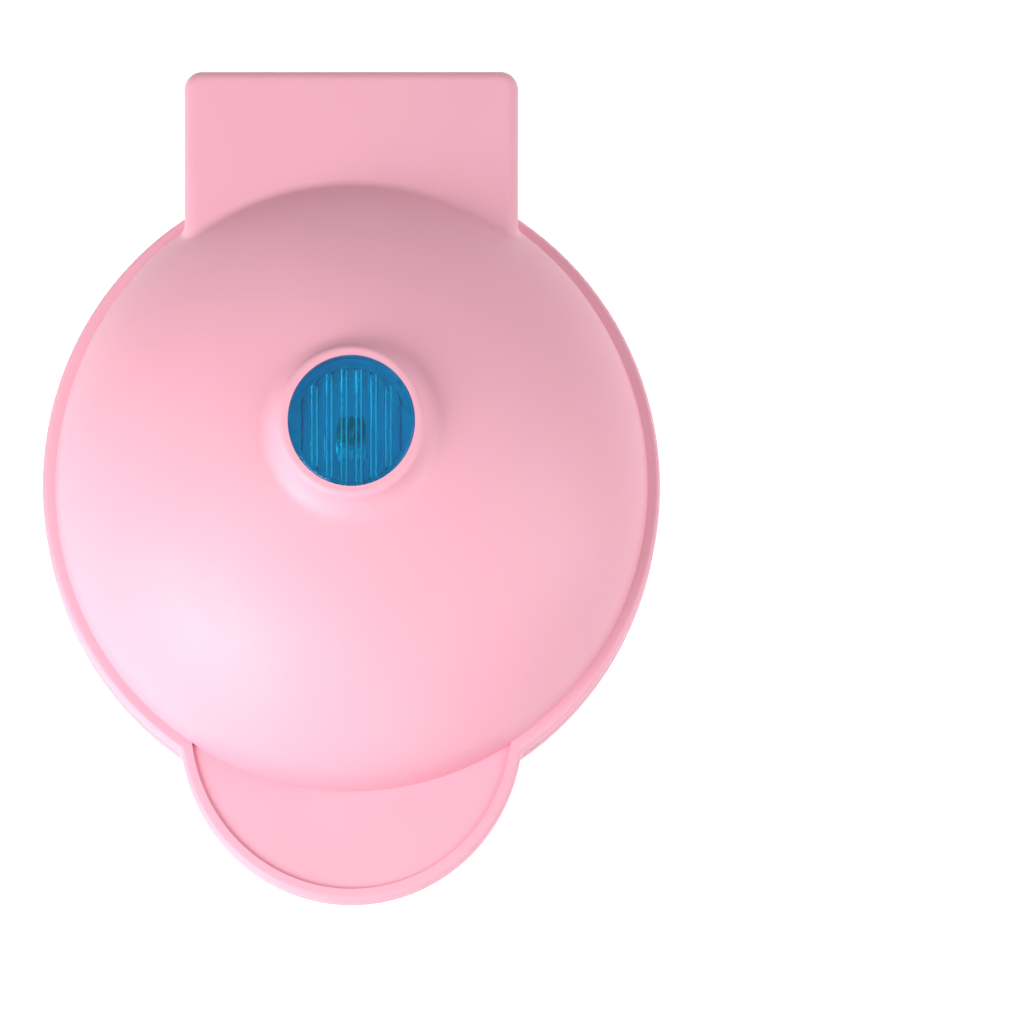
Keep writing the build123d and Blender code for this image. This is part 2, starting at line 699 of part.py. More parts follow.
def strap_fixings():
    """Screws of the thermostat's strap."""
    seat = plate_back - 3 * seat_gap - thermostat_height - shield_sheet
    length = shield_top - seat + 1
    return [pan_screw(0, side * strap_screw_y, seat, length) for side in sides]


def lens():
    """Clear lens with a shallow crown, a holding flange and straight flutes on its underside."""
    crown_radius = (lens_radius ** 2 + lens_crown ** 2) / (2 * lens_crown)
    body = disc(lens_radius, lens_low, boss_top + 2 * lens_crown)
    ball = Pos(0, disc_y, boss_top + lens_crown - crown_radius) * Sphere(crown_radius)
    body = body & ball
    rim = body.edges().filter_by(lambda e: abs(e.bounding_box().max.Z - boss_top) < 0.01)
    body = fillet(rim, lens_round)
    high = boss_top - boss_lip - seat_gap
    body += disc(lens_radius + lens_flange_width, high - lens_flange_height, high)
    cutter = None
    for index in range(flute_count):
        x = (index - (flute_count - 1) / 2) * flute_pitch
        flute = along_y(x, -flute_reach, flute_reach, lens_low + flute_depth - flute_radius, flute_radius)
        cutter = flute if cutter is None else cutter + flute
    return body - (cutter & disc(flute_reach, lens_low - 2, lens_low + 2))


def lamp_cup():
    """Moulded cup under the lens that holds the lamp, with two screw lugs."""
    outer = boss_bore - lamp_cup_fit
    cup = disc(outer, cup_low, cup_top)
    for side in sides:
        x0, x1 = sorted((side * (outer - 1), side * lamp_lug_reach))
        half = lamp_lug_width / 2
        cup += block(x0, x1, -half, half, cup_low, cup_low + lamp_lug_thickness)
        cup += rod(side * lamp_lug_reach, 0, cup_low, cup_low + lamp_lug_thickness, half)
    cup -= disc(outer - lamp_cup_wall, cup_low + lamp_cup_wall, cup_top + 1)
    for side in sides:
        cup -= rod(side * lead_spread, 0, cup_low - 1, cup_low + 2 * lamp_cup_wall, 2 * lead_radius)
        cup -= rod(side * lamp_lug_reach, 0, cup_low - 1, cup_low + 2 * lamp_lug_thickness,
                   small_screw_radius + screw_fit)
    return cup


def lamp_cup_screws():
    """Screws that hold the lamp cup to the dome's posts."""
    length = lamp_lug_thickness + 2 * seat_gap + small_bite - 1
    return [pan_screw(side * lamp_lug_reach, 0, cup_low - seat_gap, length) for side in sides]


def lamp():
    """Glass neon lamp with a round tip."""
    low = cup_low + lamp_cup_wall + seat_gap
    body = disc(lamp_radius, low, low + lamp_length - lamp_radius)
    return body + Pos(0, disc_y, low + lamp_length - lamp_radius) * Sphere(lamp_radius)


def lamp_leads():
    """Lamp's two leads down to the thermostat's blades, one of them through the resistor."""
    high = cup_low + lamp_cup_wall
    low = high - lamp_cup_wall - lead_drop / 2
    end = 2 * parting_z - (plate_back - seat_gap - thermostat_height - blade_height) + 2 * lead_radius
    turn = lead_radius * 2
    plain = bent([(-lead_spread, 0, high), (-lead_spread, 0, low), (-blade_x, 0, low), (-blade_x, 0, end)],
                 lead_radius, turn)
    first = bent([(lead_spread, 0, high), (lead_spread, 0, low), (lead_spread, -resistor_y(), low)],
                 lead_radius, turn)
    far = -resistor_y() - resistor_length
    last = far - lead_tail
    second = bent([(lead_spread, far, low), (lead_spread, last, low), (blade_x, last, low),
                   (blade_x, 0, low), (blade_x, 0, end)], lead_radius, turn)
    return [plain, first, second]


def resistor_y():
    """Distance of the resistor's near end in front of the lamp's axis."""
    return 3 * resistor_radius


def lamp_resistor():
    """Series resistor of the lamp, a small cylinder with rounded ends."""
    z = cup_low - lead_drop / 2
    near = -resistor_y()
    body = along_y(lead_spread, near - resistor_length, near, z, resistor_radius)
    return fillet(body.edges().filter_by(GeomType.CIRCLE), resistor_radius / 3)


def hinge_pins():
    """Two steel pins, tight in the lid's cheeks and running in the base's knuckles."""
    end = box_half - wall + pin_blind - seat_gap
    return both_sides(lambda: along_x(cheek_x - pin_proud, end, hinge_pin_radius))


def base_sleeve():
    """Glass-fibre sleeve with the wires, from the tower up to the middle of the hinge axis."""
    y = hinge_y - disc_y
    rise = y - sleeve_front
    points = [(-sleeve_x, rise, sleeve_low), (-sleeve_x, rise, hinge_z), (-sleeve_x, y, hinge_z),
              (-sleeve_gap / 2, y, hinge_z)]
    return bent(points, sleeve_radius, sleeve_turn)


def lid_sleeve():
    """The sleeve's other half, from the middle of the hinge axis into the dome."""
    y = hinge_y - disc_y
    points = [(sleeve_gap / 2, y, hinge_z), (sleeve_x, y, hinge_z),
              (sleeve_x, y - sleeve_lid_front, sleeve_lid_z), (sleeve_x, sleeve_lid_end, sleeve_lid_z)]
    return bent(points, sleeve_radius, sleeve_turn)


def pin_side():
    """X of a wire's end beside an element's terminal pin."""
    return leg_x + pin_radius + seat_gap


def lid_wires():
    """Wires in the lid: sleeve to element, element to thermostat, thermostat to sleeve."""
    start = sleeve_lid_end - wire_radius / 2
    pin_y = leg_end + bead_length + pin_length / 2
    pin_z = 2 * parting_z - tube_z
    over = 2 * parting_z - shield_low + shield_rim + 2 * wire_radius
    blade_end = 2 * parting_z - (plate_back - seat_gap - thermostat_height) + blade_height / 2
    near = blade_width / 2 + wire_radius / 2
    rise_y = pin_y - 12
    outer_x = sleeve_x + wire_spread
    feed = bent([(outer_x, start, sleeve_lid_z), (outer_x, pin_y, pin_z), (pin_side(), pin_y, pin_z)],
                wire_radius, wire_turn)
    link = bent([(-pin_side(), pin_y, pin_z), (-outer_x, pin_y, pin_z), (-outer_x, rise_y, over),
                 (-blade_x, 4 * near, over), (-blade_x, near, blade_end)], wire_radius, wire_turn)
    inner_x = sleeve_x - wire_spread
    back = bent([(inner_x, start, sleeve_lid_z), (inner_x, start - 3, sleeve_lid_z + 0.6),
                 (outer_x, rise_y, over), (blade_x, 4 * near, over), (blade_x, near, blade_end)],
                wire_radius, wire_turn)
    return [feed, link, back]


def base_wires():
    """Wires in the base: block to element, element to fuse, fuse to block, block to sleeve."""
    front = block_y - block_depth / 2 - seat_gap
    side_x = block_half_width + seat_gap
    pin_y = leg_end + bead_length + pin_length / 2
    block_z = base_floor + block_height / 2
    low = base_floor + 2.5 * wire_radius
    out_x = leg_x + bead_radius + 1.5 * wire_radius + seat_gap
    fuse_z = shield_low - seat_gap - fuse_radius
    fuse_end = fuse_length / 2 + seat_gap
    way_y = leg_end + bead_length + wire_radius + seat_gap
    cross_y = way_y - wire_radius
    sleeve_y = hinge_y - disc_y - sleeve_front
    sleeve_end = sleeve_low - seat_gap
    feed = bent([(block_hole_pitch, front, block_z), (block_hole_pitch, way_y, block_z),
                 (out_x, way_y, block_z), (out_x, pin_y, tube_z), (pin_side(), pin_y, tube_z)],
                wire_radius, wire_turn)
    to_fuse = bent([(-pin_side(), pin_y, tube_z), (-out_x, pin_y, tube_z), (-out_x, leg_end, low),
                    (-out_x, 0, low), (-out_x, fuse_y, fuse_z), (-fuse_end, fuse_y, fuse_z)],
                   wire_radius, wire_turn)
    far_x = out_x + wire_step
    from_fuse = bent([(fuse_end, fuse_y, fuse_z), (far_x, fuse_y, fuse_z), (far_x, 0, low),
                      (far_x, cross_y, low), (block_hole_pitch / 2, cross_y, low),
                      (block_hole_pitch / 2, front, low)], wire_radius, wire_turn)
    near_x = -sleeve_x + wire_spread
    upper_z = block_z + wire_step / 2
    upper = bent([(near_x, sleeve_y, sleeve_end), (near_x, sleeve_y, upper_z), (near_x, block_y, upper_z),
                  (-side_x, block_y, upper_z)], wire_radius, wire_turn)
    far_side = -sleeve_x - wire_spread
    lower_z = block_z - wire_step / 2
    lower_y = block_y - wire_step / 2
    lower = bent([(far_side, sleeve_y, sleeve_end), (far_side, sleeve_y, lower_z),
                  (far_side, lower_y, lower_z), (-side_x, lower_y, lower_z)], wire_radius, wire_turn)
    return [feed, to_fuse, from_fuse, upper, lower]


def thermal_fuse():
    """Thermal fuse in its glass-fibre sleeve, lying under the lower shield."""
    z = shield_low - seat_gap - fuse_radius
    body = Cylinder(fuse_radius, fuse_length)
    body = fillet(body.edges().filter_by(GeomType.CIRCLE), fuse_radius / 4)
    return Pos(0, disc_y + fuse_y, z) * Rot(0, 90, 0) * body


def fuse_clip():
    """Sheet saddle that goes under the fuse and is screwed to the shield by its tab."""
    z = shield_low - seat_gap - fuse_radius
    high = shield_low - seat_gap
    half = fuse_clip_width / 2
    outer = fuse_radius + fuse_clip_sheet
    inner = fuse_radius + seat_gap / 2
    ring = Pos(0, disc_y + fuse_y, z) * Rot(0, 90, 0) * Cylinder(outer, fuse_clip_width)
    ring += block(-half, half, fuse_y - outer, fuse_y + outer, z, high)
    ring -= Pos(0, disc_y + fuse_y, z) * Rot(0, 90, 0) * Cylinder(inner, fuse_clip_width + 1)
    ring -= block(-half - 1, half + 1, fuse_y - inner, fuse_y + inner, z, high + 1)
    tab = block(-half, half, fuse_y + inner, fuse_y + outer + fuse_clip_tab, high - fuse_clip_sheet, high)
    tab -= rod(0, clip_screw_y, z, shield_top, small_screw_radius + screw_fit)
    return (ring & disc(shield_radius, 0, high)) + tab


def fuse_clip_screw():
    """Screw of the fuse's clip."""
    seat = shield_low - 2 * seat_gap - fuse_clip_sheet
    return pan_screw(0, clip_screw_y, seat, fuse_clip_sheet + 2 * seat_gap + shield_sheet + 1)


def terminal_block():
    """Ceramic terminal block on the floor, drilled for three wires."""
    solid = block(-block_half_width, block_half_width, block_y - block_depth / 2, block_y + block_depth / 2,
                  base_floor + seat_gap, base_floor + seat_gap + block_height)
    for index in (-1, 0, 1):
        solid -= along_y(index * block_hole_pitch, block_y - block_depth, block_y + block_depth,
                         base_floor + block_height / 2, block_hole_radius)
    return solid


def cord_bush():
    """Flanged bush in the tower's rear wall that the mains cord passes through."""
    inner = tower_reach - wall - bush_inside
    outer_end = tower_reach + seat_gap + bush_flange
    flange = along_y(0, tower_reach + seat_gap, outer_end, bush_z, bush_flange_radius)
    outer = flange.edges().filter_by(GeomType.CIRCLE).sort_by(Axis.Y)[-1]
    flange = fillet(outer, bush_flange / 2)
    bush = along_y(0, inner, outer_end, bush_z, bush_radius) + flange
    return bush - along_y(0, inner - 1, outer_end + 1, bush_z, cord_radius + bush_bore_fit)


def cord_clamp():
    """Bar that presses the cord down between the two clamp posts."""
    low = bush_z + cord_radius + seat_gap
    bar = block(-clamp_half_width, clamp_half_width, clamp_y - clamp_depth / 2, clamp_y + clamp_depth / 2,
                low, low + clamp_height)
    for side in sides:
        bar -= rod(side * clamp_screw_x, clamp_y, low - 1, low + clamp_height + 1,
                   small_screw_radius + screw_fit)
    return bar


def cord_clamp_screws():
    """Pan-head screws of the cord clamp, heads up."""
    seat = bush_z + cord_radius + 2 * seat_gap + clamp_height
    length = clamp_height + 2 * seat_gap + small_bite
    screws = []
    for side in sides:
        screw = pan_screw(side * clamp_screw_x, clamp_y, seat, length)
        screws.append(mirror(screw, Plane.XY.offset(seat)))
    return screws


def cover_screws():
    """Countersunk screws of the hinge cover."""
    return [flat_screw(side * cover_screw_x, cover_screw_y, tower_top, cover_sheet + screw_bite)
            for side in sides]


def feet():
    """Rubber feet, each seated in a shallow round recess."""
    pads = []
    for side in sides:
        for x, y in foot_places:
            pad = rod(side * x, y, 0, foot_proud + foot_recess - seat_gap, foot_radius)
            pads.append(fillet(pad.faces().sort_by(Axis.Z)[0].edges(), foot_round))
    return pads


def save(name, solids):
    """Write one piece, or a group of like pieces, as parts/NAME.step."""
    group = solids if isinstance(solids, list) else [solids]
    bodies = [solid for piece in group for solid in piece.solids()]
    shape = bodies[0] if len(bodies) == 1 else Compound(children=bodies)
    export_step(shape, f"parts/{name}.step")


nodes = {
    "lid_shell": lid_shell,
    "indicator_lens": lens,
    "lamp_cup": lamp_cup,
    "lamp_cup_screws": lamp_cup_screws,
    "neon_lamp": lamp,
    "lamp_leads": lamp_leads,
    "lamp_resistor": lamp_resistor,
    "upper_plate": lambda: flipped(cooking_plate()),
    "upper_plate_screws": lambda: [flipped(piece) for piece in plate_fixings()],
    "upper_element": lambda: flipped(element()),
    "upper_element_beads": lambda: [flipped(piece) for piece in element_beads()],
    "upper_element_pins": lambda: [flipped(piece) for piece in element_pins()],
    "upper_heat_shield": lambda: flipped(shield()),
    "upper_shield_screws": lambda: [flipped(piece) for piece in shield_fixings()],
    "thermostat": lambda: flipped(thermostat()),
    "thermostat_blades": lambda: [flipped(piece) for piece in thermostat_blades()],
    "thermostat_strap": lambda: flipped(thermostat_strap()),
    "thermostat_strap_screws": lambda: [flipped(piece) for piece in strap_fixings()],
    "lid_wires": lid_wires,
    "lid_wire_sleeve": lid_sleeve,
    "hinge_pins": hinge_pins,
    "base_shell": base_shell,
    "base_hinge_cover": hinge_cover,
    "hinge_cover_screws": cover_screws,
    "lower_plate": cooking_plate,
    "lower_plate_screws": plate_fixings,
    "lower_element": element,
    "lower_element_beads": element_beads,
    "lower_element_pins": element_pins,
    "lower_heat_shield": shield,
    "lower_shield_screws": shield_fixings,
    "thermal_fuse": thermal_fuse,
    "fuse_clip": fuse_clip,
    "fuse_clip_screw": fuse_clip_screw,
    "terminal_block": terminal_block,
    "base_wires": base_wires,
    "base_wire_sleeve": base_sleeve,
    "cord_bush": cord_bush,
    "cord_clamp": cord_clamp,
    "cord_clamp_screws": cord_clamp_screws,
    "rubber_feet": feet,
}

os.makedirs("parts", exist_ok=True)
for name, make in nodes.items():
    save(name, make())
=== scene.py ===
# Heart waffle maker: looks of the small pink waffle iron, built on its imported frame.
# Metres, +Z up, lifting tab towards -Y, hinge along X at the rear.
import json
import math

import bmesh
import bpy
import numpy as np
from mathutils import Matrix, Vector

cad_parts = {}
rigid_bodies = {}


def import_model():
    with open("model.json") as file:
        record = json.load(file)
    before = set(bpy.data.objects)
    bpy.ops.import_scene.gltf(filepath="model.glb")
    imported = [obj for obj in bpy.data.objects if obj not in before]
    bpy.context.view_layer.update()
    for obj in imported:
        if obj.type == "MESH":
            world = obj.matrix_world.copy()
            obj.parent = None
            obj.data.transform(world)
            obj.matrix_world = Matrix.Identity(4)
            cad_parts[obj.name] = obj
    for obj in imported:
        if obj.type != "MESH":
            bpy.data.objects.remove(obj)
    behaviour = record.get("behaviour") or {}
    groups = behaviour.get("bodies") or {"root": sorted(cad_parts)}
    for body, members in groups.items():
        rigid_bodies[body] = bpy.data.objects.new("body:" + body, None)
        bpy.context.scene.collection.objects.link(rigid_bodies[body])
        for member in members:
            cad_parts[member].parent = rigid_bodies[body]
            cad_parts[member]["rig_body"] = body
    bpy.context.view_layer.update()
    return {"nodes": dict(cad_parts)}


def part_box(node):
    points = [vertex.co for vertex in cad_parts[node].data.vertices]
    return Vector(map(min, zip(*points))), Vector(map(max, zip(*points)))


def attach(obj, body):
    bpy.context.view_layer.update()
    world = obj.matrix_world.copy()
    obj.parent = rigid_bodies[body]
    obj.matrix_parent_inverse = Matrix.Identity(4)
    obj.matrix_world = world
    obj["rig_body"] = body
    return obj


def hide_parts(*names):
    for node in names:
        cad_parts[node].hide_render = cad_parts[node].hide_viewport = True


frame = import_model()
nodes = frame["nodes"]
MM = 0.001


# Camera: high in front of the tab. The photograph is a little taller than a plain view of
# the object, so the picture plane leans as the back of a view camera does.
elevation = math.radians(70.5)
back_lean = math.radians(4.1)
distance = 1.0                     # from the eye to the flange's centre
flange_top = 34.0 * MM
picture_right = 33.0 * MM          # the picture's middle, counted from the flange's centre
picture_down = 5.2 * MM
picture_span = 210.35 * MM         # width of the object's plane that the picture shows
film_width = 36.0                  # millimetres, as Blender counts a film

low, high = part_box("lower_plate")
rim_centre = Vector((0.0, (low.y + high.y) / 2, flange_top))
right = Vector((1.0, 0.0, 0.0))
up = Vector((0.0, math.cos(back_lean), -math.sin(back_lean)))
eye = rim_centre + distance * Vector((0.0, -math.cos(elevation), math.sin(elevation)))
aim = rim_centre + picture_right * right - picture_down * up
backward = (eye - aim).normalized()

camera_data = bpy.data.cameras.new("camera")
camera_data.sensor_width = film_width
camera_data.lens = film_width * (eye - aim).length / picture_span
camera_data.clip_start = 10 * MM
camera = bpy.data.objects.new("camera", camera_data)
stand = bpy.data.objects.new("camera_stand", None)
for thing in (camera, stand):
    bpy.context.scene.collection.objects.link(thing)
camera.parent = stand
camera.matrix_parent_inverse = Matrix((
    (right.x, up.x, backward.x, eye.x),
    (right.y, up.y, backward.y, eye.y),
    (right.z, up.z, backward.z, eye.z),
    (0.0, 0.0, 0.0, 1.0)))
bpy.context.scene.camera = camera
bpy.context.scene.view_settings.view_transform = "Standard"


# Studio: a plain white floor, clear from below, with a soft shadow, and white surroundings.
# A soft lamp stands in front on the left and a wider one on the right.
def shader(name):
    """New node material: its tree, its shader and its output."""
    material = bpy.data.materials.new(name)
    material.use_nodes = True
    tree = material.node_tree
    return material, tree, tree.nodes["Principled BSDF"], tree.nodes["Material Output"]


def seen_directly(tree):
    """1 on camera, glossy and transmission rays, and 0 on the rays that light things."""
    path = tree.nodes.new("ShaderNodeLightPath")
    total = path.outputs["Is Camera Ray"]
    for ray in ("Is Glossy Ray", "Is Transmission Ray"):
        larger = tree.nodes.new("ShaderNodeMath")
        larger.operation = "MAXIMUM"
        tree.links.new(total, larger.inputs[0])
        tree.links.new(path.outputs[ray], larger.inputs[1])
        total = larger.outputs[0]
    return total


floor_half = 3.0
floor_white = 0.80
floor_glow = 0.68                  # how strongly the floor shines where it is seen directly
ambient = 0.36                     # strength of the white surroundings as a light
floor_mesh = bpy.data.meshes.new("floor")
floor_mesh.from_pydata([(-floor_half, -floor_half, 0), (floor_half, -floor_half, 0),
                        (floor_half, floor_half, 0), (-floor_half, floor_half, 0)], [], [(0, 1, 2, 3)])
floor = bpy.data.objects.new("floor", floor_mesh)
bpy.context.scene.collection.objects.link(floor)
floor_paint, tree, surface, output = shader("floor_paint")
surface.inputs["Base Color"].default_value = (floor_white, floor_white, floor_white, 1)
surface.inputs["Roughness"].default_value = 0.9
surface.inputs["Specular IOR Level"].default_value = 0.1
glow = tree.nodes.new("ShaderNodeEmission")
glow_share = tree.nodes.new("ShaderNodeMath")
glow_share.operation = "MULTIPLY"
glow_share.inputs[1].default_value = floor_glow
tree.links.new(seen_directly(tree), glow_share.inputs[0])
tree.links.new(glow_share.outputs[0], glow.inputs["Strength"])
lit_floor = tree.nodes.new("ShaderNodeAddShader")
tree.links.new(surface.outputs[0], lit_floor.inputs[0])
tree.links.new(glow.outputs[0], lit_floor.inputs[1])
clear_below = tree.nodes.new("ShaderNodeMixShader")
tree.links.new(tree.nodes.new("ShaderNodeNewGeometry").outputs["Backfacing"], clear_below.inputs[0])
tree.links.new(lit_floor.outputs[0], clear_below.inputs[1])
tree.links.new(tree.nodes.new("ShaderNodeBsdfTransparent").outputs[0], clear_below.inputs[2])
tree.links.new(clear_below.outputs[0], output.inputs["Surface"])
floor_mesh.materials.append(floor_paint)

world = bpy.data.worlds.new("studio")
world.use_nodes = True
bpy.context.scene.world = world
tree = world.node_tree
backdrop = tree.nodes["Background"]
backdrop.inputs["Color"].default_value = (1, 1, 1, 1)
level = tree.nodes.new("ShaderNodeMapRange")
level.inputs["To Min"].default_value = ambient
level.inputs["To Max"].default_value = 1.0
tree.links.new(seen_directly(tree), level.inputs["Value"])
tree.links.new(level.outputs["Result"], backdrop.inputs["Strength"])


def soft_lamp(name, place, target, size, watts):
    """Square area lamp at a place, turned to its target."""
    data = bpy.data.lights.new(name, "AREA")
    data.shape = "SQUARE"
    data.size = size
    data.energy = watts
    lamp = bpy.data.objects.new(name, data)
    lamp.location = place
    lamp.rotation_euler = (Vector(target) - Vector(place)).to_track_quat("-Z", "Y").to_euler()
    bpy.context.scene.collection.objects.link(lamp)


soft_lamp("key_lamp", (-0.42, -0.32, 0.38), (0, -0.02, 0.04), size=0.40, watts=4.7)
soft_lamp("fill_lamp", (0.80, -0.05, 0.50), (0, 0, 0.03), size=0.60, watts=4.7)


# Shells: the lid, the base bowl and the hinge cover are injection moulded in one pink
# plastic, satin-gloss, with a very fine mould grain, faint mottle and a few dust specks.
def effect_group(name, inputs, outputs):
    """New shader node group with number inputs and outputs; its tree and its two ends."""
    tree = bpy.data.node_groups.new(name, "ShaderNodeTree")
    for label, value in inputs.items():
        socket = tree.interface.new_socket(label, in_out="INPUT", socket_type="NodeSocketFloat")
        socket.default_value = value
    for label in outputs:
        tree.interface.new_socket(label, in_out="OUTPUT", socket_type="NodeSocketFloat")
    return tree, tree.nodes.new("NodeGroupInput"), tree.nodes.new("NodeGroupOutput")


def feed(tree, socket, value):
    """Put a number or a colour into a socket, or link another node's output to it."""
    if isinstance(value, (int, float)):
        socket.default_value = value
    elif isinstance(value, tuple):
        socket.default_value = (*value, 1)
    else:
        tree.links.new(value, socket)


def reckoned(tree, operation, first, second=0.0):
    """Math node on one or two sockets or numbers."""
    node = tree.nodes.new("ShaderNodeMath")
    node.operation = operation
    feed(tree, node.inputs[0], first)
    feed(tree, node.inputs[1], second)
    return node.outputs[0]


def spread(tree, value, low, high, from_low=0.3, from_high=0.7):
    """A value's range spread over low to high, and held at the ends."""
    node = tree.nodes.new("ShaderNodeMapRange")
    node.inputs["From Min"].default_value = from_low
    node.inputs["From Max"].default_value = from_high
    feed(tree, node.inputs["To Min"], low)
    feed(tree, node.inputs["To Max"], high)
    feed(tree, node.inputs["Value"], value)
    return node.outputs["Result"]


def grain_effect():
    """Even lumps over Object coordinates: a value between Low and High, and the bare height."""
    tree, given, made = effect_group("grain", {"Size": 4 * MM, "Low": 0.0, "High": 1.0},
                                     ("Value", "Height"))
    place = tree.nodes.new("ShaderNodeTexCoord")
    lumps = tree.nodes.new("ShaderNodeTexNoise")
    tree.links.new(place.outputs["Object"], lumps.inputs["Vector"])
    tree.links.new(reckoned(tree, "DIVIDE", 1.0, given.outputs["Size"]), lumps.inputs["Scale"])
    tree.links.new(lumps.outputs["Fac"], made.inputs["Height"])
    value = spread(tree, lumps.outputs["Fac"], given.outputs["Low"], given.outputs["High"])
    tree.links.new(value, made.inputs["Value"])
    return tree


def speck_effect():
    """Round specks, at most one in each cell: a mask of 1 in a speck. Share of the cells has one."""
    tree, given, made = effect_group("specks", {"Cell": 8 * MM, "Width": 0.1, "Share": 0.5}, ("Mask",))
    place = tree.nodes.new("ShaderNodeTexCoord")
    cells = tree.nodes.new("ShaderNodeTexVoronoi")
    tree.links.new(place.outputs["Object"], cells.inputs["Vector"])
    tree.links.new(reckoned(tree, "DIVIDE", 1.0, given.outputs["Cell"]), cells.inputs["Scale"])
    inside = reckoned(tree, "LESS_THAN", cells.outputs["Distance"], given.outputs["Width"])
    split = tree.nodes.new("ShaderNodeSeparateColor")
    tree.links.new(cells.outputs["Color"], split.inputs["Color"])
    chosen = reckoned(tree, "LESS_THAN", split.outputs["Red"], given.outputs["Share"])
    tree.links.new(reckoned(tree, "MULTIPLY", inside, chosen), made.inputs["Mask"])
    return tree


def placed(tree, effect, output, **values):
    """A node group in a material, with its own values; one of its outputs."""
    node = tree.nodes.new("ShaderNodeGroup")
    node.node_tree = effect
    for label, value in values.items():
        node.inputs[label].default_value = value
    return node.outputs[output]


def mixed(tree, share, first, second):
    """Colour between two colours by a share from 0 to 1."""
    node = tree.nodes.new("ShaderNodeMix")
    node.data_type = "RGBA"
    share_socket, first_colour, second_colour, mixed_colour = 0, 6, 7, 2
    feed(tree, node.inputs[first_colour], first)
    feed(tree, node.inputs[second_colour], second)
    feed(tree, node.inputs[share_socket], share)
    return node.outputs[mixed_colour]


def bumped(tree, surface, height, depth, strength):
    """Bump of a height pattern, whose full range is this deep in metres."""
    node = tree.nodes.new("ShaderNodeBump")
    node.inputs["Strength"].default_value = strength
    node.inputs["Distance"].default_value = depth
    tree.links.new(height, node.inputs["Height"])
    tree.links.new(node.outputs["Normal"], surface.inputs["Normal"])


grain = grain_effect()
specks = speck_effect()


def mottled(tree, size, dark, pale):
    """Colour that wanders between two tones, in lumps of a size."""
    return mixed(tree, placed(tree, grain, "Value", Size=size), dark, pale)


def roughened(tree, surface, size, low, high):
    """Roughness that wanders between low and high, in lumps of a size."""
    rough = placed(tree, grain, "Value", Size=size, Low=low, High=high)
    tree.links.new(rough, surface.inputs["Roughness"])


def grained(tree, surface, size, depth, strength):
    """Bump of fine lumps of a size."""
    bumped(tree, surface, placed(tree, grain, "Height", Size=size), depth, strength)


def shell_plastic():
    """Pink plastic: mottle in its colour, a fine grain, a satin gloss and dark dust specks."""
    material, tree, surface, _ = shader("shell_plastic")
    dust_colour = (0.35, 0.16, 0.20)
    pink = mottled(tree, 30 * MM, (0.812, 0.388, 0.482), (0.840, 0.406, 0.502))
    dust = placed(tree, specks, "Mask", Cell=26 * MM, Width=0.009, Share=0.35)
    tree.links.new(mixed(tree, dust, pink, dust_colour), surface.inputs["Base Color"])
    roughened(tree, surface, 5 * MM, 0.47, 0.53)
    surface.inputs["Specular IOR Level"].default_value = 0.46
    grained(tree, surface, 0.35 * MM, 0.004 * MM, 0.5)
    return material


pink_plastic = shell_plastic()


def smooth_copy(node, name, material, sharp=28.0, weld=0.001 * MM):
    """Copy of a node's mesh with points closer than weld merged, smooth but for edges that turn
    more than sharp degrees."""
    mesh = nodes[node].data.copy()
    mesh.name = name
    shape = bmesh.new()
    shape.from_mesh(mesh)
    bmesh.ops.remove_doubles(shape, verts=shape.verts, dist=weld)
    for face in shape.faces:
        face.smooth = True
    for edge in shape.edges:
        edge.smooth = len(edge.link_faces) == 2 and edge.calc_face_angle() < math.radians(sharp)
    shape.to_mesh(mesh)
    shape.free()
    mesh.materials.clear()
    mesh.materials.append(material)
    piece = bpy.data.objects.new(name, mesh)
    bpy.context.scene.collection.objects.link(piece)
    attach(piece, nodes[node]["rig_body"])
    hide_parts(node)


smooth_copy("lid_shell", "lid_cover", pink_plastic)
smooth_copy("base_shell", "bowl_cover", pink_plastic)
smooth_copy("base_hinge_cover", "hinge_cover", pink_plastic)


# Lens: clear blue plastic with a shallow crown and straight flutes on its underside, held
# by its flange under the lip of the boss. The lamp behind it shows through as dark spots.
def blue_clear():
    """Clear blue plastic, polished, with its colour all through."""
    material, tree, surface, _ = shader("blue_clear")
    blue = mottled(tree, 9 * MM, (0.003, 0.48, 0.88), (0.004, 0.56, 0.93))
    tree.links.new(blue, surface.inputs["Base Color"])
    roughened(tree, surface, 3 * MM, 0.01, 0.03)
    surface.inputs["Transmission Weight"].default_value = 0.96
    surface.inputs["IOR"].default_value = 1.49
    surface.inputs["Specular IOR Level"].default_value = 0.10
    surface.inputs["Specular Tint"].default_value = (0.35, 0.65, 0.95, 1)
    return material


smooth_copy("indicator_lens", "lens", blue_clear())


# Cooking plates: two like aluminium castings with a dark non-stick coating. The heart is
# a hollow with drafted walls, set with square studs. Its tip and its notch are sharp here,
# where the solid rounds them by a few millimetres.
plate_low, plate_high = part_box("lower_plate")
plate_middle = (plate_low.y + plate_high.y) / 2
plate_radius = (plate_high.x - plate_low.x) / 2
plate_face = plate_high.z
plate_rim = 3.0 * MM
plate_step = 4.8 * MM              # the plate's body is this much smaller than its rim
plate_body = 9.6 * MM              # height of rim and body together
heart_depth = 7.2 * MM
wall_run = 1.3 * MM                # the heart's wall leans inwards by this much
lobe_radius = 25.5 * MM
lobe_place = (22.5 * MM, 12.0 * MM)
lobe_start = math.pi - math.acos(lobe_place[0] / lobe_radius)     # meets the heart's axis
lobe_end = math.radians(-38.0)
heart_tip = -44.0 * MM
stud_rise = 5.2 * MM
stud_half = 5.75 * MM
stud_run = 0.85 * MM               # the stud's sides lean inwards by this much
stud_pitch = 16.3 * MM
stud_corner = 1.6 * MM             # a little rounder than the solid's, under the coating
stud_row = -5.0 * MM               # middle row
stud_border = 4.6 * MM             # channel between the studs and the heart's wall
stud_least = 25.0 * MM * MM        # cut studs with a smaller mean section are left out
edge_soft = 0.33 * MM              # softness of the edges under the coating
screw_rim = 3.1 * MM
